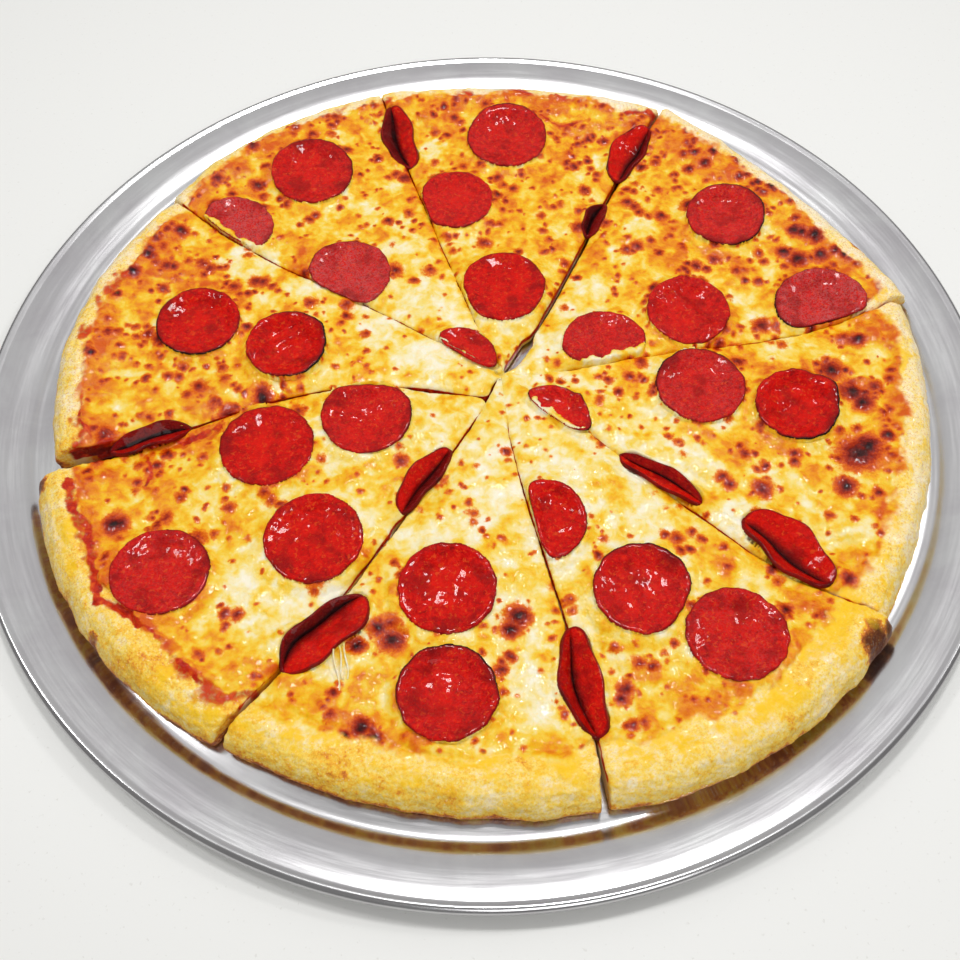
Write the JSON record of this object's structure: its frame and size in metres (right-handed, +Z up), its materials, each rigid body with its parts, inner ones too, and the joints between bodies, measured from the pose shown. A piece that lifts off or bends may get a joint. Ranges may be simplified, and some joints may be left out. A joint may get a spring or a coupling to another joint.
{
  "type": "pizza on its pan",
  "caption": "Whole round pepperoni pizza cut into slices, lying in a round wide-rimmed aluminium pan, for a served meal.",
  "frame": {"origin": "middle of the underside of the pan's flat floor, on the table", "axes": "+Z up from the table, +X to the right and +Y away from the viewer of the picture"},
  "size_m": [0.4064, 0.4064, 0.0176],
  "materials": {
    "pan": "satin",
    "crust": "baked bread crust",
    "cheese": "oily melted cheese",
    "pepperoni": "oily cured sausage"
  },
  "bodies": {
    "root": {"pan": "pan", "dough_1": "crust", "dough_2": "crust", "dough_3": "crust", "dough_4": "crust", "dough_5": "crust", "dough_6": "crust", "dough_7": "crust", "dough_8": "crust", "cheese_1": "cheese", "cheese_2": "cheese", "cheese_3": "cheese", "cheese_4": "cheese", "cheese_5": "cheese", "cheese_6": "cheese", "cheese_7": "cheese", "cheese_8": "cheese", "pepperoni_01": "pepperoni", "pepperoni_02": "pepperoni", "pepperoni_03": "pepperoni", "pepperoni_04": "pepperoni", "pepperoni_05": "pepperoni", "pepperoni_06": "pepperoni", "pepperoni_07": "pepperoni", "pepperoni_08": "pepperoni", "pepperoni_09": "pepperoni", "pepperoni_10": "pepperoni", "pepperoni_11": "pepperoni", "pepperoni_12": "pepperoni", "pepperoni_13": "pepperoni", "pepperoni_14": "pepperoni", "pepperoni_15": "pepperoni", "pepperoni_16": "pepperoni", "pepperoni_17": "pepperoni", "pepperoni_18": "pepperoni", "pepperoni_19": "pepperoni", "pepperoni_20": "pepperoni", "pepperoni_21": "pepperoni", "pepperoni_22": "pepperoni", "pepperoni_23": "pepperoni", "pepperoni_24": "pepperoni", "pepperoni_25": "pepperoni", "pepperoni_26": "pepperoni", "pepperoni_27": "pepperoni", "pepperoni_28": "pepperoni", "pepperoni_29": "pepperoni", "pepperoni_30": "pepperoni", "pepperoni_31": "pepperoni", "pepperoni_32": "pepperoni", "pepperoni_33": "pepperoni", "pepperoni_34": "pepperoni"}
  },
  "joints": []
}
